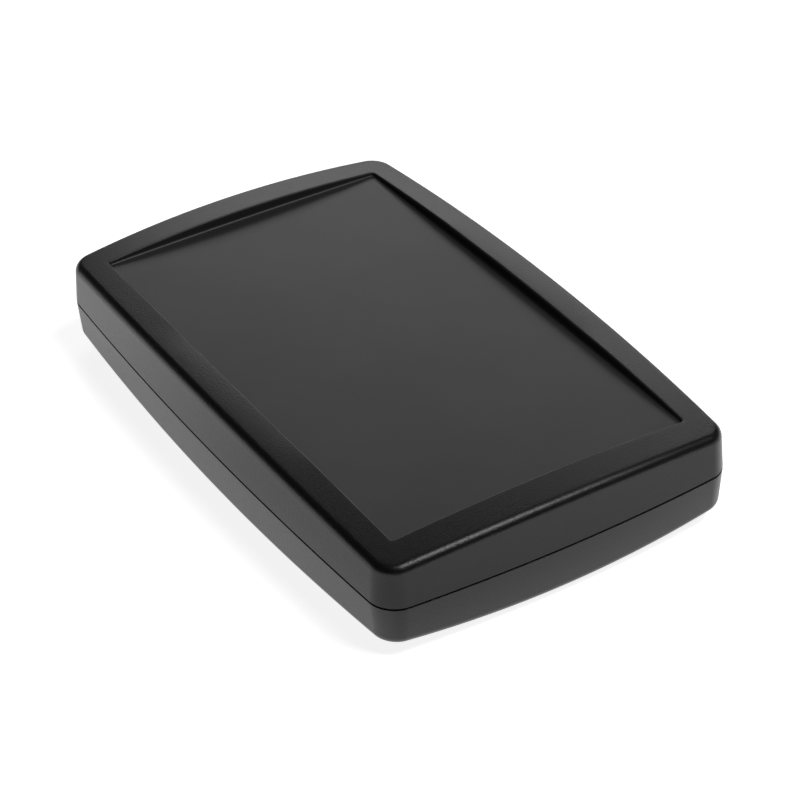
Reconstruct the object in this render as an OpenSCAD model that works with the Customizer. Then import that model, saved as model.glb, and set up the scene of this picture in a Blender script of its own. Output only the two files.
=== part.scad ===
// Hand-held electronics enclosure: two domed shells with bowed sides, closed by four screws.
// +Y runs along the length, +Z is up, and the origin is at the middle of the base.
// Lengths are in millimetres and angles in degrees.

/* [Case] */
// Length over the crowns of the two bowed ends
case_l = 145; // [125:1:180]
// Width over the crowns of the two bowed sides
case_w = 90.5; // [80:0.5:110]
// Height of each shell, from the joint between them to the crown of its domed face
shell_h = 13.8; // [12.6:0.2:20]
// How far a long side bows out from its corners to its crown
side_bow = 2.3; // [0.6:0.1:4]
// How far an end bows out from its corners to its crown
end_bow = 2.1; // [0.6:0.1:4]
// Fall of a domed face from its crown to the middle of a long side
side_fall = 2.3; // [1.4:0.1:2.8]
// Fall of a domed face from its crown to the middle of an end
end_fall = 2.3; // [1.4:0.1:2.8]
// Further fall of a domed face towards its four corners
corner_fall = 0.4; // [0:0.1:0.8]
// Radius of the upright corners, seen from above
corner_r = 5.7; // [5.2:0.1:8]
// Radius of the rounded edge between a wall and a domed face
edge_r = 2.2; // [1.2:0.1:2.6]
// Lean of the walls away from the joint
lean_deg = 4.5; // [1:0.5:6]
// Wall thickness of both shells
wall = 2.2; // [1.9:0.1:2.5]
// Radius inside, between a wall and the floor or ceiling
core_r = 1; // [0.5:0.1:1.4]
// Depth of the lower dome that is levelled off for the case to stand on
foot_cut = 1; // [0.5:0.1:1.6]

/* [Keypad field] */
// Width of the rim beside the sunk field, from the crown of a long side
rim_side = 8.5; // [7:0.1:12]
// Width of the rim at the head and foot of the field, from the crown of an end
rim_end = 9.9; // [8.4:0.1:16]
// How far the field's long edges bow out
field_side_bow = 0.9; // [0.2:0.1:1.4]
// How far the field's short edges bow out
field_end_bow = 0.5; // [0.2:0.1:1.2]
// Depth of the flat field at its four corners, where the rim is lowest
field_sink = 0.85; // [0.75:0.05:1.6]
// Radius of the field's upright corners
field_corner_r = 0.8; // [0.6:0.1:3]
// Rounding of the rim's edge above the field
field_edge_r = 0.4; // [0.2:0.05:0.4]
// Fillet at the foot of the field's walls
field_foot_r = 0.3; // [0.1:0.05:0.3]

/* [Joint between the shells] */
// Width of the fine groove that shows between the shells
seam_w = 0.4; // [0.16:0.02:0.5]
// Depth of that groove
seam_d = 0.45; // [0.3:0.05:0.6]
// Chamfer on the groove's two outer edges
seam_break = 0.1; // [0.05:0.05:0.2]
// Thickness of the lower shell's tongue
tongue_w = 0.9; // [0.7:0.05:1]
// Height of the tongue above the joint
tongue_h = 1.5; // [1:0.1:2.2]
// Clearance round the tongue in the upper shell's rebate
tongue_clear = 0.12; // [0.05:0.01:0.2]

/* [Case screws] */
// Distance of the screws from the crown of a long side
screw_side = 10.25; // [10:0.25:12]
// Distance of the screws from the crown of an end
screw_end = 10.5; // [10:0.25:16]
// Length of a screw under its head
screw_l = 9.5; // [8:0.5:10]
// Diameter of the bores that the screws cut into
pilot_d = 2.5; // [2.2:0.1:2.8]
// Clearance all round between a screw's shank and that bore
screw_clear = 0.03; // [0.02:0.01:0.05]
// Room in the bore beyond a screw's tip
tip_room = 0.8; // [0.4:0.1:1]
// Height of a screw's pointed tip
tip_h = 1.6; // [1:0.1:2]
// Diameter of a screw's head
head_d = 5.6; // [5:0.1:6]
// Height of a screw's head
head_h = 2.1; // [1.6:0.1:2.4]
// Span of the cross recess in a screw's head
cross_w = 3; // [2.4:0.1:3.4]
// Width of each slot of the cross
cross_slot = 0.6; // [0.4:0.1:0.8]
// Depth of the cross
cross_h = 1.1; // [0.8:0.1:1.3]
// Clearance all round a head in its counterbore
head_clear = 0.3; // [0.2:0.05:0.5]
// Plastic under a screw's head
seat_h = 3; // [2.4:0.1:4]
// Diameter of the holes that the screws pass through
pass_d = 3.2; // [3:0.1:3.6]
// Thickness of plastic round a counterbore, in the lower shell's pillars
lower_boss_wall = 1.5; // [1.2:0.1:1.8]
// Thickness of plastic round a bore, in the upper shell's pillars
upper_boss_wall = 2.2; // [1.6:0.1:2.6]
// Gap between an upper pillar and the lower one, so that the shells close at the rim first
boss_gap = 0.1; // [0.05:0.05:0.3]

/* [Circuit board seats] */
// Distance of the board's seats from the case screws across the width
seat_in_x = 5; // [3:0.5:12]
// Distance of the board's seats from the case screws along the length
seat_in_y = 12; // [9:0.5:20]
// Height of the board's seats above the inside floor
board_h = 4.8; // [3:0.1:7]
// Diameter of a seat
seat_d = 6; // [5:0.25:7]
// Diameter of the bore in a seat
seat_bore_d = 2.2; // [1.8:0.1:2.8]
// Depth of the bore in a seat
seat_bore_h = 4; // [2:0.5:4.5]

/* [Ribs] */
// Thickness of the ribs
rib_w = 1.2; // [0.8:0.1:1.6]
// How far the ribs on the side walls stand out from them
rib_out = 1.2; // [0.8:0.1:1.6]
// Distance between the ribs on a side wall
rib_pitch = 26; // [16:1:30]
// Ribs on each side wall
rib_count = 3; // [1:1:5]
// Distance of the ribs from the joint
rib_start = 3; // [2.6:0.1:4]

/* [Smoothness] */
// Steps along a long side
side_steps = 14; // [8:1:18]
// Steps along an end
end_steps = 10; // [6:1:14]
// Steps round an upright corner
corner_steps = 8; // [4:1:10]
// Steps round the edge of a domed face
edge_steps = 6; // [3:1:8]
// Steps from the foot to the edge of the lower dome
dome_steps = 4; // [2:1:6]

/* [Hidden] */
$fn = 48;

black_plastic = [0.14, 0.14, 0.14];
zinc = [0.72, 0.73, 0.74];

half_w = case_w / 2;
half_l = case_l / 2;
joint_z = shell_h - foot_cut;

field_half_w = half_w - rim_side;
field_half_l = half_l - rim_end;

screw_x = half_w - screw_side;
screw_y = half_l - screw_end;
shank_r = pilot_d / 2 - screw_clear;
counterbore_r = head_d / 2 + head_clear;
lower_boss_r = counterbore_r + lower_boss_wall;
upper_boss_r = pilot_d / 2 + upper_boss_wall;
pilot_end = screw_l - seat_h + tip_room;

seat_x = screw_x - seat_in_x;
seat_y = screw_y - seat_in_y;

rebate_in = wall - tongue_w - tongue_clear;

// Margin by which each cutting tool passes the face that it cuts
past = 1;

// Plan of the case: a rounded rectangle whose points are then pushed in towards the corners

function run(from, to, steps) = [for (k = [0 : steps - 1]) from + (to - from) * k / steps];

function corner(centre, r, start) = [
    for (k = [0 : corner_steps - 1])
        let (a = start + 90 * k / corner_steps)
            centre + r * [cos(a), sin(a)]
];

function rounded(w, l, r) =
    let (x = w - r, y = l - r)
        concat(
            run([w, -y], [w, y], side_steps),
            corner([x, y], r, 0),
            run([x, l], [-x, l], end_steps),
            corner([-x, y], r, 90),
            run([-w, y], [-w, -y], side_steps),
            corner([-x, -y], r, 180),
            run([-x, -l], [x, -l], end_steps),
            corner([x, -y], r, 270)
        );

function bowed(p, w, l, side, end) = [
    p.x * (1 - side / w * pow(p.y / l, 2)),
    p.y * (1 - end / l * pow(p.x / w, 2))
];

plan = rounded(half_w, half_l, corner_r);
facing = rounded(1, 1, 1);
stations = [0 : len(plan) - 1];

// Point i of the case's plan, moved in from the joint's outline by a distance
function wall_point(i, inset) = bowed(plan[i] - inset * facing[i], half_w, half_l, side_bow, end_bow);

function lean(h) = h * tan(lean_deg);

// Fall of the domed face below its crown at a point, and its slope towards a station's wall
function fall(p) =
    let (u = p.x / half_w, v = p.y / half_l)
        side_fall * u * u + end_fall * v * v + corner_fall * u * u * v * v;

function slope(p, i) =
    let (u = p.x / half_w, v = p.y / half_l)
        atan(2 * u * (side_fall + corner_fall * v * v) / half_w * facing[i].x
             + 2 * v * (end_fall + corner_fall * u * u) / half_l * facing[i].y);

function dome_point(p, under) = [p.x, p.y, shell_h - fall(p) - under];

// Rings of points. Heights are counted from the joint towards the crown, so one set serves both shells.

function level_ring(inset, h) = [for (i = stations) concat(wall_point(i, inset), h)];

// Ring k of the round between a wall and the dome, with the skin set in by under. It starts at the dome.
function edge_ring(k, r, under) = [
    for (i = stations)
        let (
            near = wall_point(i, under + r),
            inset = lean(shell_h - fall(near) - under - r) + under + r / cos(lean_deg),
            middle = wall_point(i, inset),
            tilt = slope(middle, i),
            h = shell_h - fall(middle) - under - r / cos(tilt),
            a = 90 - tilt - (90 - tilt - lean_deg) * k / edge_steps
        )
        concat(wall_point(i, inset - r * cos(a)), h + r * sin(a))
];

edge_rings = [for (k = [0 : edge_steps]) edge_ring(k, edge_r, 0)];
core_rings = [for (k = [edge_steps : -1 : 0]) edge_ring(k, core_r, wall)];

// Walls down to the groove, the groove, and the land on which the shells meet
seam_rings = [
    level_ring(lean(seam_w / 2 + seam_break), seam_w / 2 + seam_break),
    level_ring(seam_break, seam_w / 2),
    level_ring(seam_d, seam_w / 2),
    level_ring(seam_d, 0)
];

// The sunk field

function field_plan(out) = [
    for (p = rounded(field_half_w + out, field_half_l + out, field_corner_r + out))
        bowed(p, field_half_w, field_half_l, field_side_bow, field_end_bow)
];

field_corner = bowed([field_half_w, field_half_l], field_half_w, field_half_l, field_side_bow, field_end_bow);
field_h = shell_h - fall(field_corner) - field_sink;

function field_ring(out, h) = [for (p = field_plan(out)) concat(p, h)];

function rim_ring(out, under) = [for (p = field_plan(out)) dome_point(p, under)];

field_rings = concat(
    [for (a = [0, 45, 90]) field_ring(-field_foot_r * (1 - sin(a)), field_h + field_foot_r * (1 - cos(a)))],
    [for (a = [0, 30, 60, 90]) rim_ring(field_edge_r * (1 - cos(a)), field_edge_r * (1 - sin(a)))]
);

// The levelled foot is the oval in which a plane cuts the lower dome: the point of it in line with p,
// from the crown, at which the dome has fallen by the depth of the cut

function foot_point(p) =
    let (
        a = atan2(p.y / half_l, p.x / half_w),
        sides = side_fall * pow(cos(a), 2) + end_fall * pow(sin(a), 2),
        corners = corner_fall * pow(cos(a) * sin(a), 2),
        reach = sqrt(2 * foot_cut / (sides + sqrt(sides * sides + 4 * corners * foot_cut)))
    )
        reach * [half_w * cos(a), half_l * sin(a)];

function foot_ring(ring, under) = [
    for (p = ring) concat(foot_point(p), shell_h - foot_cut - under)
];

// Ring t of the way from the foot to an edge ring
function dome_ring(ring, t, under) = [
    for (p = ring)
        let (foot = foot_point(p))
            dome_point(foot + ([p.x, p.y] - foot) * t, under)
];

function dome_rings(ring, under) = [for (k = [1 : dome_steps - 1]) dome_ring(ring, k / dome_steps, under)];

function reversed(list) = [for (k = [len(list) - 1 : -1 : 0]) list[k]];

top_rings = concat(
    field_rings,
    edge_rings,
    seam_rings,
    [
        level_ring(rebate_in, 0),
        level_ring(rebate_in, tongue_h + tongue_clear),
        level_ring(wall + lean(tongue_h + tongue_clear), tongue_h + tongue_clear)
    ],
    core_rings,
    [rim_ring(wall, wall), field_ring(wall, field_h - wall)]
);

bottom_rings = concat(
    [foot_ring(edge_rings[0], 0)],
    dome_rings(edge_rings[0], 0),
    edge_rings,
    seam_rings,
    [
        level_ring(wall - tongue_w, 0),
        level_ring(wall - tongue_w, -tongue_h),
        level_ring(wall, -tongue_h)
    ],
    core_rings,
    reversed(dome_rings(core_rings[edge_steps], wall)),
    [foot_ring(core_rings[edge_steps], wall)]
);

// Skins a list of rings, and closes the first and the last ring, which are flat
module skin(rings) {
    n = len(plan);
    last = len(rings) - 1;
    polyhedron(
        points = [for (ring = rings) each ring],
        faces = concat(
            [[for (i = [n - 1 : -1 : 0]) i]],
            [
                for (j = [0 : last - 1], i = stations)
                    let (a = j * n + i, b = j * n + (i + 1) % n)
                        each [[a, b, b + n], [a, b + n, a + n]]
            ],
            [[for (i = stations) last * n + i]]
        ),
        convexity = 8
    );
}

// Places something at the four corners of a rectangle
module at_corners(x, y) {
    for (sx = [-1, 1], sy = [-1, 1])
        translate([sx * x, sy * y, 0])
            children();
}

// Inner face of a wall where the ribs start: the x of a long side at y, and the y of an end at x
function inner_x(y) = bowed([half_w - wall - lean(rib_start), y], half_w, half_l, side_bow, end_bow).x;
function inner_y(x) = bowed([x, half_l - wall - lean(rib_start)], half_w, half_l, side_bow, end_bow).y;

// How far a rib goes into the wall that it stands on
rib_bite = wall / 4;

// Height, counted from the joint, of the middle of a shell's skin, where a pillar or rib ends
function root_h(x, y) = shell_h - max(fall([x, y]), foot_cut) - wall / 2;

// Ribs that tie the screw pillars to the two walls beside them
module boss_ribs(root) {
    x_end = inner_x(screw_y) + rib_bite;
    y_end = inner_y(screw_x) + rib_bite;
    for (sx = [0, 1], sy = [0, 1])
        mirror([sx, 0, 0])
            mirror([0, sy, 0]) {
                translate([screw_x, screw_y - rib_w / 2, rib_start])
                    cube([x_end - screw_x, rib_w, root - rib_start]);
                translate([screw_x - rib_w / 2, screw_y, rib_start])
                    cube([rib_w, y_end - screw_y, root - rib_start]);
            }
}

// Upright ribs on the long walls
module side_ribs() {
    for (k = [0 : rib_count - 1], sx = [0, 1]) {
        y = (k - (rib_count - 1) / 2) * rib_pitch;
        x = inner_x(y);
        mirror([sx, 0, 0])
            translate([x - rib_out, y - rib_w / 2, rib_start])
                cube([rib_out + rib_bite, rib_w, root_h(x, y) - rib_start]);
    }
}

// Upper shell, in its own heights from the joint
module top_half() {
    root = field_h - wall / 4; // in the skin under the field, and in the skin of the rim
    difference() {
        union() {
            skin(top_rings);
            at_corners(screw_x, screw_y)
                translate([0, 0, boss_gap])
                    cylinder(r = upper_boss_r, h = root - boss_gap);
            boss_ribs(root - wall / 4);
            side_ribs();
        }
        at_corners(screw_x, screw_y)
            translate([0, 0, -past])
                cylinder(d = pilot_d, h = pilot_end + past);
    }
}

// Lower shell, in its own heights from the joint
module bottom_half() {
    boss_root = root_h(screw_x, screw_y);
    seat_root = root_h(seat_x, seat_y);
    seat_top = shell_h - foot_cut - wall - board_h;
    difference() {
        union() {
            skin(bottom_rings);
            at_corners(screw_x, screw_y)
                cylinder(r = lower_boss_r, h = boss_root);
            at_corners(seat_x, seat_y)
                translate([0, 0, seat_top])
                    cylinder(d = seat_d, h = seat_root - seat_top);
            boss_ribs(boss_root - wall / 4);
            side_ribs();
        }
        at_corners(screw_x, screw_y) {
            translate([0, 0, -past])
                cylinder(d = pass_d, h = seat_h + 2 * past);
            translate([0, 0, seat_h])
                cylinder(r = counterbore_r, h = shell_h);
        }
        at_corners(seat_x, seat_y)
            translate([0, 0, seat_top - past])
                cylinder(d = seat_bore_d, h = seat_bore_h + past);
    }
}

// One screw, head down, with the underside of its head at z = 0
module screw() {
    tip_r = shank_r / 4;
    crown_r = (pow(head_d / 2, 2) + pow(head_h, 2)) / (2 * head_h);
    difference() {
        union() {
            cylinder(r = shank_r, h = screw_l - tip_h);
            translate([0, 0, screw_l - tip_h])
                cylinder(r1 = shank_r, r2 = tip_r, h = tip_h);
            translate([0, 0, -head_h])
                intersection() {
                    cylinder(d = head_d, h = head_h);
                    translate([0, 0, crown_r])
                        sphere(r = crown_r);
                }
        }
        for (turn = [0, 90])
            rotate(turn)
                translate([-cross_w / 2, -cross_slot / 2, -head_h - past])
                    cube([cross_w, cross_slot, cross_h + past]);
    }
}

module top_shell() {
    color(black_plastic)
        translate([0, 0, joint_z])
            top_half();
}

module bottom_shell() {
    color(black_plastic)
        translate([0, 0, joint_z])
            mirror([0, 0, 1])
                bottom_half();
}

module case_screws() {
    color(zinc)
        translate([0, 0, joint_z - seat_h])
            at_corners(screw_x, screw_y)
                screw();
}

top_shell();
bottom_shell();
case_screws();
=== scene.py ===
"""Looks of the hand-held electronics enclosure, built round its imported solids.

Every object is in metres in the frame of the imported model: +Y runs along the case, +Z is up, and
the origin is at the middle of the base. Sizes below are in millimetres, as in the part's source.
"""

import math

import bmesh
import bpy
import numpy as np
from mathutils import Matrix, Vector


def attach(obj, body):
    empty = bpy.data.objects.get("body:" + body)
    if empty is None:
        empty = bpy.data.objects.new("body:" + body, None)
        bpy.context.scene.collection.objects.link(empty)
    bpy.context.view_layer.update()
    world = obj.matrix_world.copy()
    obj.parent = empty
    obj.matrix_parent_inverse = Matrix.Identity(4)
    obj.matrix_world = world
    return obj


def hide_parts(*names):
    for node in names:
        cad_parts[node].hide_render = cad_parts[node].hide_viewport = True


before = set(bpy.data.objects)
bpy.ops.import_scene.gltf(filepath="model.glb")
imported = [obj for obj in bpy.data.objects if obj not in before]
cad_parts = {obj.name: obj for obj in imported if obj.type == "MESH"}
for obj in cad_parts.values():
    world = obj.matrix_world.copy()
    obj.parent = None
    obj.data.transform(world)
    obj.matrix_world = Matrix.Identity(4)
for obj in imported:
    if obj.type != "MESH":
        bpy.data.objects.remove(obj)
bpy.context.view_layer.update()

MM = 0.001

# Driving dimensions of the case
CASE_L, CASE_W, SHELL_H = 145, 90.5, 13.8
SIDE_BOW, END_BOW = 2.3, 2.1
SIDE_FALL, END_FALL, CORNER_FALL = 2.3, 2.3, 0.4
CORNER_R, EDGE_R, LEAN_DEG = 5.7, 2.2, 4.5
WALL, CORE_R, FOOT_CUT = 2.2, 1.0, 1.0

# The sunk keypad field
RIM_SIDE, RIM_END = 8.5, 9.9
FIELD_SIDE_BOW, FIELD_END_BOW = 0.9, 0.5
FIELD_SINK, FIELD_CORNER_R, FIELD_EDGE_R, FIELD_FOOT_R = 0.85, 0.8, 0.4, 0.3

# The joint between the shells. The groove's outer edge is broken over SEAM_BREAK, by way of a point
# at these shares of it
SEAM_W, SEAM_D, SEAM_BREAK = 0.4, 0.45, 0.1
BREAK_IN, BREAK_DOWN = 0.3, 0.35
TONGUE_W, TONGUE_H, TONGUE_CLEAR = 0.9, 1.5, 0.12

# The case screws and the pillars that they join
SCREW_SIDE, SCREW_END, SCREW_L = 10.25, 10.5, 9.5
PILOT_D, SCREW_CLEAR, TIP_ROOM, TIP_H = 2.5, 0.03, 0.8, 1.6
HEAD_D, HEAD_H, CROSS_W, CROSS_SLOT, CROSS_H = 5.6, 2.1, 3.0, 0.6, 1.1
HEAD_CLEAR, SEAT_H, PASS_D = 0.3, 3.0, 3.2
LOWER_BOSS_WALL, UPPER_BOSS_WALL, BOSS_GAP = 1.5, 2.2, 0.1

# The thread, with its ridge's half width as a share of the pitch, the tip's share of the shank, and
# how far the shank goes into the head
THREAD_PITCH, THREAD_DEPTH, RIDGE_HALF = 1.06, 0.27, 0.22
TIP_SHARE, SHANK_SUNK = 0.25, 0.3

# The cross recess: how much longer it is at its top and shorter at its bottom, how its slots widen,
# and how far it is cut past the head
CROSS_FLARE, CROSS_DRAFT, SLOT_DRAFT, CROSS_PAST = 0.12, 0.35, 0.06, 0.2

# The turns at which the screws were left, in radians
FIRST_TURN, NEXT_TURN = 0.4, 0.9

# The circuit board's seats and the ribs
SEAT_IN_X, SEAT_IN_Y, BOARD_H = 5.0, 12.0, 4.8
SEAT_D, SEAT_BORE_D, SEAT_BORE_H = 6.0, 2.2, 4.0
RIB_W, RIB_OUT, RIB_PITCH, RIB_COUNT, RIB_START = 1.2, 1.2, 26.0, 3, 3.0

# Softer round at the foot of the field's end walls: its radius by the field's depth, and at most
SOFT_FOOT, SOFT_FOOT_R = 0.5, 0.65

# Faint sag of the long rims beside the field: depth, width, and the stretch of y over which it ends
SAG, SAG_W, SAG_FULL, SAG_END = 0.24, 5.6, 20.0, 34.0

# Steps of the fine skins, round the plan and across it, and of the turned pieces
SIDE_STEPS, END_STEPS, CORNER_STEPS = 56, 40, 22
EDGE_STEPS, CORE_STEPS, ROUND_STEPS, RIM_STEPS, DOME_STEPS = 12, 5, 6, 7, 14
CYLINDER_STEPS, SHANK_STEPS, PITCH_STEPS, CROWN_STEPS = 64, 40, 10, 15

# Values worked out from those above
HALF_W, HALF_L = CASE_W / 2, CASE_L / 2
JOINT_Z = SHELL_H - FOOT_CUT
FIELD_HALF_W, FIELD_HALF_L = HALF_W - RIM_SIDE, HALF_L - RIM_END
SCREW_X, SCREW_Y = HALF_W - SCREW_SIDE, HALF_L - SCREW_END
SHANK_R = PILOT_D / 2 - SCREW_CLEAR
COUNTERBORE_R = HEAD_D / 2 + HEAD_CLEAR
LOWER_BOSS_R = COUNTERBORE_R + LOWER_BOSS_WALL
UPPER_BOSS_R = PILOT_D / 2 + UPPER_BOSS_WALL
PILOT_END = SCREW_L - SEAT_H + TIP_ROOM
SEAT_X, SEAT_Y = SCREW_X - SEAT_IN_X, SCREW_Y - SEAT_IN_Y
REBATE_IN = WALL - TONGUE_W - TONGUE_CLEAR
BITE = WALL / 4
LEAN = math.radians(LEAN_DEG)

# How far cutters go past what they cut, and a tolerance below any step in the shapes
PAST, JUST_UNDER = 1.0, 0.01

# Shading: the creases that stay sharp on case and screws, and how far large faces pull the normals
CASE_CREASE_DEG, SCREW_CREASE_DEG, NORMAL_WEIGHT = 35, 40, 60


# Plan of the case: a rounded rectangle whose points are then pushed in towards the corners

def run(start, end, steps):
    """Points along a straight side, without its end."""
    t = np.arange(steps)[:, None] / steps
    return np.array(start, float) * (1 - t) + np.array(end, float) * t


def corner(centre, r, start):
    """Points round a quarter circle from an angle in degrees, without its end."""
    a = np.radians(start + 90 * np.arange(CORNER_STEPS) / CORNER_STEPS)
    return np.array(centre, float) + r * np.stack([np.cos(a), np.sin(a)], axis=1)


def rounded(half_w, half_l, r):
    """A rounded rectangle."""
    x, y = half_w - r, half_l - r
    return np.concatenate([
        run((half_w, -y), (half_w, y), SIDE_STEPS), corner((x, y), r, 0),
        run((x, half_l), (-x, half_l), END_STEPS), corner((-x, y), r, 90),
        run((-half_w, y), (-half_w, -y), SIDE_STEPS), corner((-x, -y), r, 180),
        run((-x, -half_l), (x, -half_l), END_STEPS), corner((x, -y), r, 270),
    ])


def bowed(p, half_w, half_l, side, end):
    """Points drawn in, by side and end at the corners of that half width and half length."""
    x, y = np.asarray(p, float).T
    return np.stack([x * (1 - side / half_w * (y / half_l) ** 2),
                     y * (1 - end / half_l * (x / half_w) ** 2)], axis=-1)


# The plan before it is bowed, and the way that each of its points faces
PLAN = rounded(HALF_W, HALF_L, CORNER_R)
FACING = rounded(1, 1, 1)


def wall_points(inset):
    """The plan moved in from the joint's outline, by one distance or by one for each point."""
    inset = np.broadcast_to(inset, len(PLAN))[:, None]
    return bowed(PLAN - inset * FACING, HALF_W, HALF_L, SIDE_BOW, END_BOW)


def lean(h):
    """How far a wall has leaned in at a height from the joint."""
    return h * math.tan(LEAN)


def fall(p):
    """How far the dome has fallen from its crown."""
    u, v = (np.asarray(p, float) / (HALF_W, HALF_L)).T
    return SIDE_FALL * u ** 2 + END_FALL * v ** 2 + CORNER_FALL * u ** 2 * v ** 2


def slope(p):
    """The dome's slope outwards."""
    u, v = (p / (HALF_W, HALF_L)).T
    return np.arctan(2 * u * (SIDE_FALL + CORNER_FALL * v ** 2) / HALF_W * FACING[:, 0]
                     + 2 * v * (END_FALL + CORNER_FALL * u ** 2) / HALF_L * FACING[:, 1])


def ring(xy, h):
    """Points at a height, counted from the joint towards the crown."""
    return np.column_stack([xy, np.broadcast_to(h, len(xy))])


def on_dome(xy, under=0.0):
    """Points on the dome, or under it by a distance."""
    return ring(xy, SHELL_H - fall(xy) - under)


def level_ring(inset, h):
    return ring(wall_points(inset), h)


def edge_ring(share, r, under):
    """A ring of the round between the dome, at share 0, and the wall, at share 1."""
    near = wall_points(under + r)
    inset = lean(SHELL_H - fall(near) - under - r) + under + r / math.cos(LEAN)
    middle = wall_points(inset)
    tilt = slope(middle)
    h = SHELL_H - fall(middle) - under - r / np.cos(tilt)
    a = math.pi / 2 - tilt - (math.pi / 2 - tilt - LEAN) * share
    return ring(wall_points(inset - r * np.cos(a)), h + r * np.sin(a))


def edge_rings():
    return [edge_ring(k / EDGE_STEPS, EDGE_R, 0) for k in range(EDGE_STEPS + 1)]


def core_rings():
    return [edge_ring(k / CORE_STEPS, CORE_R, WALL) for k in range(CORE_STEPS, -1, -1)]


def seam_rings():
    """A shell's half of the groove, from the wall in to the land at the joint."""
    low = SEAM_W / 2
    return [
        level_ring(lean(low + SEAM_BREAK), low + SEAM_BREAK),
        level_ring(lean(low + SEAM_BREAK) + BREAK_IN * SEAM_BREAK, low + BREAK_DOWN * SEAM_BREAK),
        level_ring(SEAM_BREAK, low),
        level_ring(SEAM_D, low),
        level_ring(SEAM_D, 0),
    ]


# The sunk field

def field_points(out):
    """The field's outline, moved out by a distance."""
    p = rounded(FIELD_HALF_W + out, FIELD_HALF_L + out, FIELD_CORNER_R + out)
    return bowed(p, FIELD_HALF_W, FIELD_HALF_L, FIELD_SIDE_BOW, FIELD_END_BOW)


FIELD_CORNER = bowed((FIELD_HALF_W, FIELD_HALF_L), FIELD_HALF_W, FIELD_HALF_L,
                     FIELD_SIDE_BOW, FIELD_END_BOW)
FIELD_H = SHELL_H - float(fall(FIELD_CORNER)) - FIELD_SINK

# The field's outline, its way outwards, and the field's depth at each of its points
FIELD_EDGE = field_points(0)
FIELD_OUT = field_points(1) - FIELD_EDGE
FIELD_DEPTH = SHELL_H - fall(FIELD_EDGE) - FIELD_H


def sag(xy):
    """Depth of the long rims' faint sag at each point."""
    x, y = np.abs(xy).T
    out = np.maximum(x - FIELD_HALF_W + FIELD_SIDE_BOW * (y / FIELD_HALF_L) ** 2, 0)
    along = np.clip((SAG_END - y) / (SAG_END - SAG_FULL), 0, 1)
    return SAG * np.maximum(1 - out / SAG_W, 0) ** 2 * along ** 2 * (3 - 2 * along)


def on_rim(xy, under=0.0):
    return on_dome(xy, under + sag(xy))


def quarter(steps):
    return [math.pi / 2 * k / steps for k in range(steps + 1)]


def field_rings():
    """The round at the foot of the field's walls and the one at their top."""
    largest = FIELD_FOOT_R + (SOFT_FOOT_R - FIELD_FOOT_R) * np.abs(FACING[:, 1])
    r = np.clip(SOFT_FOOT * FIELD_DEPTH, FIELD_FOOT_R, largest)
    foot = [ring(FIELD_EDGE - (r * (1 - math.sin(a)))[:, None] * FIELD_OUT,
                 FIELD_H + r * (1 - math.cos(a)))
            for a in quarter(ROUND_STEPS)]
    edge = [on_rim(field_points(FIELD_EDGE_R * (1 - math.cos(a))),
                   FIELD_EDGE_R * (1 - math.sin(a)))
            for a in quarter(ROUND_STEPS)]
    return foot + edge


def between(first, last, steps, surface, under=0.0):
    """Rings on a surface between two rings of it."""
    return [surface(first[:, :2] + (last[:, :2] - first[:, :2]) * k / steps, under)
            for k in range(1, steps)]


# The shells

def foot_ring(outer, under):
    """The oval in which the levelled foot's plane cuts the lower dome, or the dome inside it."""
    a = np.arctan2(outer[:, 1] / HALF_L, outer[:, 0] / HALF_W)
    sides = SIDE_FALL * np.cos(a) ** 2 + END_FALL * np.sin(a) ** 2
    corners = CORNER_FALL * (np.cos(a) * np.sin(a)) ** 2
    reach = np.sqrt(2 * FOOT_CUT / (sides + np.sqrt(sides ** 2 + 4 * corners * FOOT_CUT)))
    return ring(reach[:, None] * np.stack([HALF_W * np.cos(a), HALF_L * np.sin(a)], axis=1),
                SHELL_H - FOOT_CUT - under)


def top_rings():
    """The upper shell's skin: from the field out and down to the joint, then up inside."""
    field, edge, core = field_rings(), edge_rings(), core_rings()
    top = TONGUE_H + TONGUE_CLEAR
    return (field + between(field[-1], edge[0], RIM_STEPS, on_rim) + edge + seam_rings()
            + [level_ring(REBATE_IN, 0), level_ring(REBATE_IN, top),
               level_ring(WALL + lean(top), top)]
            + core + [on_dome(field_points(WALL), WALL), ring(field_points(WALL), FIELD_H - WALL)])


def bottom_rings():
    """The lower shell's skin, crown up: from the foot out and down to the joint, then up inside."""
    edge, core = edge_rings(), core_rings()
    foot, inner_foot = foot_ring(edge[0], 0), foot_ring(core[-1], WALL)
    return ([foot] + between(foot, edge[0], DOME_STEPS, on_dome) + edge + seam_rings()
            + [level_ring(WALL - TONGUE_W, 0), level_ring(WALL - TONGUE_W, -TONGUE_H),
               level_ring(WALL, -TONGUE_H)]
            + core + between(core[-1], inner_foot, DOME_STEPS // 2, on_dome, WALL) + [inner_foot])


# Meshes

def add_object(name, points, faces):
    mesh = bpy.data.meshes.new(name)
    mesh.from_pydata((np.asarray(points) * MM).tolist(), [], faces)
    mesh.validate()
    obj = bpy.data.objects.new(name, mesh)
    bpy.context.scene.collection.objects.link(obj)
    return obj


def skin(rings):
    """Points and outward faces of rings from the top down. The first and last are flat faces."""
    n, last = len(rings[0]), len(rings) - 1
    faces = [list(range(n))]
    for j in range(last):
        for i in range(n):
            a, b = j * n + i, j * n + (i + 1) % n
            faces.append([a, a + n, b + n, b])
    faces.append([last * n + i for i in range(n - 1, -1, -1)])
    return np.concatenate(rings), faces


def cylinder(x, y, r, low, high):
    """A cylinder between two heights."""
    a = 2 * math.pi * np.arange(CYLINDER_STEPS) / CYLINDER_STEPS
    xy = np.stack([x + r * np.cos(a), y + r * np.sin(a)], axis=1)
    return skin([ring(xy, high), ring(xy, low)])


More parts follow.
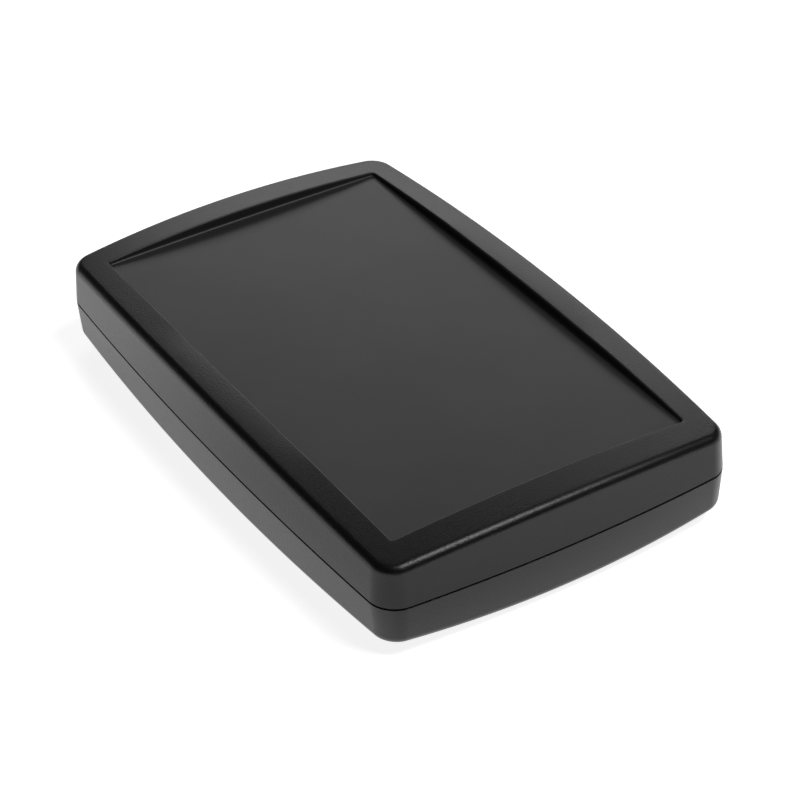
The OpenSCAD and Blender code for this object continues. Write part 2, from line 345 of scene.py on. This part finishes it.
def block(x, y, low, high):
    """A block between two x, two y and two heights."""
    xy = np.array([(x[1], y[0]), (x[1], y[1]), (x[0], y[1]), (x[0], y[0])], float)
    return skin([ring(xy, high), ring(xy, low)])


def together(parts):
    """One list of points and faces from several."""
    points, faces, start = [], [], 0
    for p, f in parts:
        points.append(p)
        faces += [[v + start for v in face] for face in f]
        start += len(p)
    return np.concatenate(points), faces


def at_corners(x, y):
    return [(sx * x, sy * y) for sx in (-1, 1) for sy in (-1, 1)]


def inner_x(y):
    """Where the inside of the long wall is, at the height at which the ribs start."""
    return bowed((HALF_W - WALL - lean(RIB_START), y), HALF_W, HALF_L, SIDE_BOW, END_BOW)[0]


def inner_y(x):
    """Where the inside of the end wall is, at that height."""
    return bowed((x, HALF_L - WALL - lean(RIB_START)), HALF_W, HALF_L, SIDE_BOW, END_BOW)[1]


def root_h(x, y):
    """Height of the middle of a shell's skin, where a pillar or rib ends."""
    return SHELL_H - max(float(fall((x, y))), FOOT_CUT) - WALL / 2


def on_side(sign, near, far):
    """The two ends of a stretch on one side of the middle, in rising order."""
    return tuple(sorted((sign * near, sign * far)))


def cross_ribs(root):
    """Ribs from the screw pillars to the side walls."""
    return together([
        block(on_side(sx, SCREW_X, inner_x(SCREW_Y) + BITE),
              (sy * SCREW_Y - RIB_W / 2, sy * SCREW_Y + RIB_W / 2), RIB_START, root)
        for sx in (-1, 1) for sy in (-1, 1)])


def long_ribs(root):
    """Ribs from the screw pillars to the end walls."""
    return together([
        block((sx * SCREW_X - RIB_W / 2, sx * SCREW_X + RIB_W / 2),
              on_side(sy, SCREW_Y, inner_y(SCREW_X) + BITE), RIB_START, root)
        for sx in (-1, 1) for sy in (-1, 1)])


def side_ribs():
    """Short ribs along the inside of the long walls."""
    ribs = []
    for k in range(RIB_COUNT):
        y = (k - (RIB_COUNT - 1) / 2) * RIB_PITCH
        x = inner_x(y)
        for sign in (-1, 1):
            ribs.append(block(on_side(sign, x - RIB_OUT, x + BITE),
                              (y - RIB_W / 2, y + RIB_W / 2), RIB_START, root_h(x, y)))
    return together(ribs)


def cylinders(x, y, r, low, high):
    """Four cylinders, one in each corner."""
    return together([cylinder(cx, cy, r, low, high) for cx, cy in at_corners(x, y)])


def combine(body, steps):
    """Adds or cuts each tool in turn, and leaves one plain mesh."""
    tools = []
    for operation, shape in steps:
        tool = add_object(body.name + "_tool", *shape)
        tools.append(tool)
        change = body.modifiers.new("change", "BOOLEAN")
        change.operation = operation
        change.solver = "MANIFOLD"
        change.object = tool
    bpy.context.view_layer.update()
    depsgraph = bpy.context.evaluated_depsgraph_get()
    mesh = bpy.data.meshes.new_from_object(body.evaluated_get(depsgraph))
    body.modifiers.clear()
    body.data = mesh
    mesh.name = body.name
    for tool in tools:
        bpy.data.objects.remove(tool)


def smooth(obj, degrees):
    """Smooth shading with sharp creases. Large faces set the normals of the rounds between them."""
    mesh = obj.data
    mesh.shade_smooth()
    mesh.set_sharp_from_angle(angle=math.radians(degrees))
    weighted = obj.modifiers.new("normals", "WEIGHTED_NORMAL")
    weighted.keep_sharp = True
    weighted.weight = NORMAL_WEIGHT


def in_place(obj, down):
    """Moves a shell from heights above the joint to where its solid is. The lower one turns over."""
    mesh = obj.data
    if down:
        mesh.transform(Matrix.Scale(-1, 4, (0, 0, 1)))
        mesh.flip_normals()
    mesh.transform(Matrix.Translation((0, 0, JOINT_Z * MM)))


def make_top_shell():
    shell = add_object("upper_shell", *skin(top_rings()))
    root = FIELD_H - BITE
    combine(shell, [
        ("UNION", cylinders(SCREW_X, SCREW_Y, UPPER_BOSS_R, BOSS_GAP, root)),
        ("UNION", cross_ribs(root - BITE)),
        ("UNION", long_ribs(root - BITE)),
        ("UNION", side_ribs()),
        ("DIFFERENCE", cylinders(SCREW_X, SCREW_Y, PILOT_D / 2, -PAST, PILOT_END)),
    ])
    in_place(shell, down=False)
    return shell


def make_bottom_shell():
    shell = add_object("lower_shell", *skin(bottom_rings()))
    root, seat_root = root_h(SCREW_X, SCREW_Y), root_h(SEAT_X, SEAT_Y)
    seat_top = SHELL_H - FOOT_CUT - WALL - BOARD_H
    combine(shell, [
        ("UNION", cylinders(SCREW_X, SCREW_Y, LOWER_BOSS_R, 0, root)),
        ("UNION", cylinders(SEAT_X, SEAT_Y, SEAT_D / 2, seat_top, seat_root)),
        ("UNION", cross_ribs(root - BITE)),
        ("UNION", long_ribs(root - BITE)),
        ("UNION", side_ribs()),
        ("DIFFERENCE", cylinders(SCREW_X, SCREW_Y, PASS_D / 2, -PAST, SEAT_H + PAST)),
        ("DIFFERENCE", cylinders(SCREW_X, SCREW_Y, COUNTERBORE_R, SEAT_H, SHELL_H)),
        ("DIFFERENCE", cylinders(SEAT_X, SEAT_Y, SEAT_BORE_D / 2,
                                 seat_top - PAST, seat_top + SEAT_BORE_H)),
    ])
    in_place(shell, down=True)
    return shell


# Screws

def turned(rings_rz):
    """A closed body turned about the z axis, from radii and heights that go from its top down."""
    a = 2 * math.pi * np.arange(CYLINDER_STEPS) / CYLINDER_STEPS
    unit = np.stack([np.cos(a), np.sin(a)], axis=1)
    return skin([ring(r * unit, h) for r, h in rings_rz])


def threaded_shank():
    """The shank, from its tip down into the head. Its crests keep to the plain shank's size."""
    a = 2 * math.pi * np.arange(SHANK_STEPS) / SHANK_STEPS
    unit = np.stack([np.cos(a), np.sin(a)], axis=1)
    rings = []
    count = round(SCREW_L / THREAD_PITCH * PITCH_STEPS)
    for k in range(count + 1):
        h = SCREW_L * (1 - k / count)
        taper = min(1.0, TIP_SHARE + (1 - TIP_SHARE) * (SCREW_L - h) / TIP_H)
        turn = (h / THREAD_PITCH - a / (2 * math.pi)) % 1
        ridge = np.clip(1 - np.abs(turn - 0.5) / RIDGE_HALF, 0, 1)
        run_out = min(1.0, h / THREAD_PITCH)
        r = taper * (SHANK_R - THREAD_DEPTH * (1 - ridge * run_out))
        rings.append(ring(unit * r[:, None], h))
    rings.append(ring(rings[-1][:, :2], -SHANK_SUNK))
    return skin(rings)


def screw_head():
    """The pan head, head down, with its underside at height 0."""
    crown_r = ((HEAD_D / 2) ** 2 + HEAD_H ** 2) / (2 * HEAD_H)
    centre = crown_r - HEAD_H
    start = math.asin(HEAD_D / 2 / crown_r)
    rings = [(HEAD_D / 2, 0.0)]
    for k in range(1, CROWN_STEPS):
        a = start * (1 - k / CROWN_STEPS)
        rings.append((crown_r * math.sin(a), centre - crown_r * math.cos(a)))
    return turned(rings)


def cross_arm(turn):
    """One slot of the cross recess, which narrows towards its bottom."""
    long_top, long_low = CROSS_W / 2 + CROSS_FLARE, CROSS_W / 2 - CROSS_DRAFT
    wide_top, wide_low = CROSS_SLOT / 2 + SLOT_DRAFT, CROSS_SLOT / 2 - SLOT_DRAFT
    rings = []
    low, top = CROSS_H - HEAD_H, -HEAD_H - CROSS_PAST
    for h, x, y in ((low, long_low, wide_low), (top, long_top, wide_top)):
        xy = np.array([(x, -y), (x, y), (-x, y), (-x, -y)])
        rings.append(ring(xy if turn == 0 else xy[:, ::-1] * (-1, 1), h))
    return skin(rings)


def make_screws():
    """Four copies of one screw, each at the turn at which it was left, in one piece."""
    screw = add_object("screw", *screw_head())
    combine(screw, [
        ("UNION", threaded_shank()),
        ("DIFFERENCE", cross_arm(0)),
        ("DIFFERENCE", cross_arm(1)),
    ])
    joined = bmesh.new()
    for k, (x, y) in enumerate(at_corners(SCREW_X, SCREW_Y)):
        one = screw.data.copy()
        place = Matrix.Translation((x * MM, y * MM, (JOINT_Z - SEAT_H) * MM))
        one.transform(place @ Matrix.Rotation(FIRST_TURN + NEXT_TURN * k, 4, "Z"))
        joined.from_mesh(one)
        bpy.data.meshes.remove(one)
    mesh = bpy.data.meshes.new("closing_screws")
    joined.to_mesh(mesh)
    joined.free()
    bpy.data.objects.remove(screw)
    screws = bpy.data.objects.new("closing_screws", mesh)
    bpy.context.scene.collection.objects.link(screws)
    return screws


# Materials

# The plastic outside and in the sunk field: the light it scatters, its dullness, its gloss and the
# depth of its coarse grain in millimetres
OUTER_SHADE, OUTER_DULL, OUTER_GLOSS, OUTER_GRAIN = 0.0042, 0.36, 0.5, 0.04
FIELD_SHADE, FIELD_DULL, FIELD_GLOSS, FIELD_GRAIN = 0.0305, 0.38, 0.34, 0.003

# Both plastics: their refraction, the depth of their fine grain, the range of their shade as shares
# of it, and how much their dullness varies
PLASTIC_IOR, FINE_DEPTH = 1.47, 0.0035
TINT_DARK, TINT_LIGHT, UNEVEN = 0.86, 1.14, 0.02

# The screws' steel: its darkest and lightest colour, its range of dullness and its grain's depth
STEEL_DARK, STEEL_LIGHT = (0.60, 0.60, 0.58), (0.72, 0.72, 0.70)
STEEL_SMOOTH, STEEL_DULL, STEEL_DEPTH = 0.24, 0.4, 0.006

# Noises of the plastic and then of the steel: bumps per millimetre, detail and roughness
FLOW, MOTTLE = (0.035, 3.0, 0.5), (1.6, 4.0, 0.6)
COARSE_GRAIN, FINE_GRAIN = (2.6, 1.0, 0.5), (5.5, 2.0, 0.6)
CLOUD, PLATING = (0.9, 4.0, 0.5), (7.0, 3.0, 0.65)

# The values between which a noise usually lies, and the sockets of a Mix node that mixes colours
NOISE_LOW, NOISE_HIGH = 0.3, 0.7
MIX_FIRST, MIX_SECOND, MIX_RESULT = 6, 7, 2


def new_material(name):
    material = bpy.data.materials.new(name)
    material.use_nodes = True
    nodes = material.node_tree.nodes
    return material, nodes, material.node_tree.links, nodes["Principled BSDF"]


def noise(nodes, links, scale, detail, roughness):
    """Noise in the object's own coordinates."""
    where = nodes.get("where") or nodes.new("ShaderNodeTexCoord")
    where.name = "where"
    texture = nodes.new("ShaderNodeTexNoise")
    texture.inputs["Scale"].default_value = scale / MM
    texture.inputs["Detail"].default_value = detail
    texture.inputs["Roughness"].default_value = roughness
    links.new(where.outputs["Object"], texture.inputs["Vector"])
    return texture.outputs["Fac"]


def spread_to(nodes, links, value, low, high, start=NOISE_LOW, end=NOISE_HIGH):
    """Maps a value that goes from start to end, as a noise's does, to a range."""
    node = nodes.new("ShaderNodeMapRange")
    node.inputs["From Min"].default_value = start
    node.inputs["From Max"].default_value = end
    node.inputs["To Min"].default_value = low
    node.inputs["To Max"].default_value = high
    links.new(value, node.inputs["Value"])
    return node.outputs["Result"]


def bump(nodes, links, height, depth, normal=None):
    """Bump of a depth in millimetres."""
    node = nodes.new("ShaderNodeBump")
    node.inputs["Strength"].default_value = 1.0
    node.inputs["Distance"].default_value = depth * MM
    links.new(height, node.inputs["Height"])
    if normal:
        links.new(normal, node.inputs["Normal"])
    return node.outputs["Normal"]


def blend_colours(nodes, links, value, first, second):
    """The first colour at 0, the second at 1."""
    node = nodes.new("ShaderNodeMix")
    node.data_type = "RGBA"
    node.inputs[MIX_FIRST].default_value = (*first, 1)
    node.inputs[MIX_SECOND].default_value = (*second, 1)
    links.new(value, node.inputs[0])
    return node.outputs[MIX_RESULT]


def plastic_material(name, shade, dull, gloss, coarse):
    """Black moulded plastic: satin, barely uneven, with a fine even grain over a coarser one."""
    material, nodes, links, shader = new_material(name)
    shader.inputs["IOR"].default_value = PLASTIC_IOR
    shader.inputs["Specular IOR Level"].default_value = gloss
    tint = spread_to(nodes, links, noise(nodes, links, *FLOW), 0.0, 1.0)
    dark, light = [TINT_DARK * shade] * 3, [TINT_LIGHT * shade] * 3
    links.new(blend_colours(nodes, links, tint, dark, light), shader.inputs["Base Color"])
    mottle = noise(nodes, links, *MOTTLE)
    links.new(spread_to(nodes, links, mottle, dull - UNEVEN, dull + UNEVEN),
              shader.inputs["Roughness"])
    coarse_bumps = bump(nodes, links, noise(nodes, links, *COARSE_GRAIN), coarse)
    fine_bumps = bump(nodes, links, noise(nodes, links, *FINE_GRAIN), FINE_DEPTH, coarse_bumps)
    links.new(fine_bumps, shader.inputs["Normal"])
    return material


def steel_material():
    """Zinc-plated steel of the screws."""
    material, nodes, links, shader = new_material("zinc_plated_steel")
    shader.inputs["Metallic"].default_value = 1.0
    cloud = spread_to(nodes, links, noise(nodes, links, *CLOUD), 0.0, 1.0)
    links.new(blend_colours(nodes, links, cloud, STEEL_DARK, STEEL_LIGHT),
              shader.inputs["Base Color"])
    plating = noise(nodes, links, *PLATING)
    links.new(spread_to(nodes, links, plating, STEEL_SMOOTH, STEEL_DULL),
              shader.inputs["Roughness"])
    links.new(bump(nodes, links, plating, STEEL_DEPTH), shader.inputs["Normal"])
    return material


# Stage

# The floor: its half size in metres, how far it lies below the foot in millimetres, so that the two
# aren't in one plane, the light it scatters, and what it gives off to the camera
FLOOR_HALF, FLOOR_DROP = 6.0, 0.02
FLOOR_SHADE, FLOOR_LIFT = 0.8, 0.86

# The case's shadow on the paper as gloss sees it, a painted shadow in the paper's glow: how dark it
# is at y = 0 and at most, how much it gains per metre of -y, where it is counted from at -X and at
# -Y, and how far out it starts, is darkest and ends
PAINTED_SHADOW_MIDDLE, PAINTED_SHADOW_MOST, PAINTED_SHADOW_GAIN = 0.56, 0.52, 7.4
PAINTED_SHADOW_FROM_X, PAINTED_SHADOW_FROM_Y = 45.0, 68.0
PAINTED_SHADOW_START, PAINTED_SHADOW_DARKEST, PAINTED_SHADOW_END = 3.0, 16.0, 68.0

# Soft boxes: azimuth and elevation of the middle in degrees, distance, width and height in metres,
# and radiance
SOFT_BOXES = {
    "back_box": (54.0, 24.0, 1.3, 0.86, 0.38, 2.5),
    "haze_box": (54.0, 42.0, 1.3, 1.0, 0.4, 0.2),
    "high_box": (-56.0, 64.0, 1.0, 0.34, 0.38, 11.0),
    "low_box": (128.0, 3.2, 1.3, 1.2, 0.13, 0.9),
}
WORLD_LEVEL = 0.02

# Camera, found by fitting the case's outline and edges to the photograph: angles in degrees,
# distance, aim and lens in millimetres, and the nearest and farthest that it sees in metres
CAMERA_AZIMUTH, CAMERA_ELEVATION, CAMERA_ROLL = -30.77, 35.36, -2.05
CAMERA_DISTANCE, CAMERA_LENS, SENSOR = 579.5, 117.1, 36.0
CAMERA_AIM = (2.025, -3.6, 7.737)
CLIP_NEAR, CLIP_FAR = 0.01, 30.0


def math_node(nodes, links, operation, *values):
    """Arithmetic on numbers and sockets."""
    node = nodes.new("ShaderNodeMath")
    node.operation = operation
    for socket, value in zip(node.inputs, values):
        if isinstance(value, (int, float)):
            socket.default_value = value
        else:
            links.new(value, socket)
    return node.outputs[0]


def glow_with_painted_shadow(nodes, links):
    """The paper as gloss sees it: white, with a painted shadow of the case that darkens it towards
    -X and -Y.
    """
    where = nodes.new("ShaderNodeTexCoord")
    apart = nodes.new("ShaderNodeSeparateXYZ")
    links.new(where.outputs["Object"], apart.inputs[0])
    x, y = apart.outputs["X"], apart.outputs["Y"]
    out = math_node(nodes, links, "MAXIMUM",
                    math_node(nodes, links, "SUBTRACT", -PAINTED_SHADOW_FROM_X * MM, x),
                    math_node(nodes, links, "SUBTRACT", -PAINTED_SHADOW_FROM_Y * MM, y))
    shape = math_node(nodes, links, "MINIMUM",
                      spread_to(nodes, links, out, 0.0, 1.0, PAINTED_SHADOW_START * MM, PAINTED_SHADOW_DARKEST * MM),
                      spread_to(nodes, links, out, 1.0, 0.0, PAINTED_SHADOW_DARKEST * MM, PAINTED_SHADOW_END * MM))
    depth = math_node(nodes, links, "MULTIPLY_ADD", y, -PAINTED_SHADOW_GAIN, PAINTED_SHADOW_MIDDLE)
    depth = math_node(nodes, links, "MINIMUM", depth, PAINTED_SHADOW_MOST)
    depth = math_node(nodes, links, "MAXIMUM", depth, 0.0)
    # Painted shadow: the glow is taken down by position, standing in for the case's shade.
    shade = math_node(nodes, links, "MULTIPLY", depth, shape)
    return math_node(nodes, links, "SUBTRACT", 1.0, shade)


def seen_light(nodes, links):
    """What the paper gives off to the camera, gloss and glass, and not to what scatters light. Gloss
    and glass see it with a painted shadow.
    """
    path = nodes.new("ShaderNodeLightPath")
    to_camera = math_node(nodes, links, "MULTIPLY", path.outputs["Is Camera Ray"], FLOOR_LIFT)
    to_gloss = math_node(nodes, links, "MAXIMUM",
                         path.outputs["Is Glossy Ray"], path.outputs["Is Transmission Ray"])
    return math_node(nodes, links, "MULTIPLY_ADD", to_gloss, glow_with_painted_shadow(nodes, links), to_camera)


def floor_material():
    """White paper, which shows near white in the picture and keeps a soft shadow. In gloss it shows
    a painted shadow.
    """
    material, nodes, links, shader = new_material("white_paper")
    shader.inputs["Base Color"].default_value = (FLOOR_SHADE, FLOOR_SHADE, FLOOR_SHADE, 1)
    shader.inputs["Roughness"].default_value = 1.0
    shader.inputs["Specular IOR Level"].default_value = 0.0
    shader.inputs["Emission Color"].default_value = (1, 1, 1, 1)
    links.new(seen_light(nodes, links), shader.inputs["Emission Strength"])
    return material


def make_floor():
    s, z = FLOOR_HALF / MM, -FLOOR_DROP
    floor = add_object("floor", [(-s, -s, z), (s, -s, z), (s, s, z), (-s, s, z)], [[0, 1, 2, 3]])
    floor.data.materials.append(floor_material())


def direction(azimuth, elevation):
    """Unit vector at an azimuth counted from +X towards +Y, and an elevation, in degrees."""
    a, e = math.radians(azimuth), math.radians(elevation)
    return Vector((math.cos(a) * math.cos(e), math.sin(a) * math.cos(e), math.sin(e)))


def make_soft_box(name, azimuth, elevation, distance, width, height, radiance):
    lamp = bpy.data.lights.new(name, "AREA")
    lamp.shape = "RECTANGLE"
    lamp.size, lamp.size_y = width, height
    lamp.energy = radiance * math.pi * width * height
    box = bpy.data.objects.new(name, lamp)
    bpy.context.scene.collection.objects.link(box)
    away = direction(azimuth, elevation)
    box.location = away * distance
    box.rotation_euler = away.to_track_quat("Z", "Y").to_euler()
    box.visible_camera = False
    return box


def make_world():
    world = bpy.data.worlds.new("studio")
    bpy.context.scene.world = world
    world.use_nodes = True
    world.node_tree.nodes["Background"].inputs["Color"].default_value = (1, 1, 1, 1)
    world.node_tree.nodes["Background"].inputs["Strength"].default_value = WORLD_LEVEL


def make_camera():
    a, e, roll = (math.radians(v) for v in (CAMERA_AZIMUTH, CAMERA_ELEVATION, CAMERA_ROLL))
    back = Vector((math.sin(a) * math.cos(e), -math.cos(a) * math.cos(e), math.sin(e)))
    level = Vector((math.cos(a), math.sin(a), 0))
    upright = back.cross(level)
    right = math.cos(roll) * level + math.sin(roll) * upright
    up = -math.sin(roll) * level + math.cos(roll) * upright
    data = bpy.data.cameras.new("camera")
    data.lens, data.sensor_width = CAMERA_LENS, SENSOR
    data.clip_start, data.clip_end = CLIP_NEAR, CLIP_FAR
    camera = bpy.data.objects.new("camera", data)
    bpy.context.scene.collection.objects.link(camera)
    turn = Matrix((right, up, back)).transposed().to_4x4()
    place = Matrix.Translation((Vector(CAMERA_AIM) + back * CAMERA_DISTANCE) * MM)
    camera.matrix_world = place @ turn
    bpy.context.scene.camera = camera


# Pieces

def mark_field(mesh):
    """Gives the sunk field, its walls and the round above them the mesh's second material."""
    centres = np.empty(len(mesh.polygons) * 3)
    mesh.polygons.foreach_get("center", centres)
    x, y, z = np.abs(centres.reshape(-1, 3).T) / MM
    reach_x = FIELD_HALF_W + FIELD_EDGE_R - FIELD_SIDE_BOW * (y / FIELD_HALF_L) ** 2
    reach_y = FIELD_HALF_L + FIELD_EDGE_R - FIELD_END_BOW * (x / FIELD_HALF_W) ** 2
    inside = (x < reach_x) & (y < reach_y) & (z > JOINT_Z + FIELD_H - JUST_UNDER)
    mesh.polygons.foreach_set("material_index", inside.astype(np.int32))


def dress(obj, node, materials, crease):
    """Gives a piece its materials and shading, fixes it to the root body and hides the solid that it
    stands for.
    """
    obj.data.materials.clear()
    for material in materials:
        obj.data.materials.append(material)
    smooth(obj, crease)
    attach(obj, "root")
    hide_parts(node)


def main():
    plastic = plastic_material("black_moulded_plastic",
                               OUTER_SHADE, OUTER_DULL, OUTER_GLOSS, OUTER_GRAIN)
    field_plastic = plastic_material("black_field_plastic",
                                     FIELD_SHADE, FIELD_DULL, FIELD_GLOSS, FIELD_GRAIN)
    top = make_top_shell()
    dress(top, "top_shell", [plastic, field_plastic], CASE_CREASE_DEG)
    mark_field(top.data)
    dress(make_bottom_shell(), "bottom_shell", [plastic], CASE_CREASE_DEG)
    dress(make_screws(), "case_screws", [steel_material()], SCREW_CREASE_DEG)
    make_floor()
    make_world()
    for name, values in SOFT_BOXES.items():
        make_soft_box(name, *values)
    make_camera()
    bpy.context.scene.view_settings.view_transform = "Standard"


main()
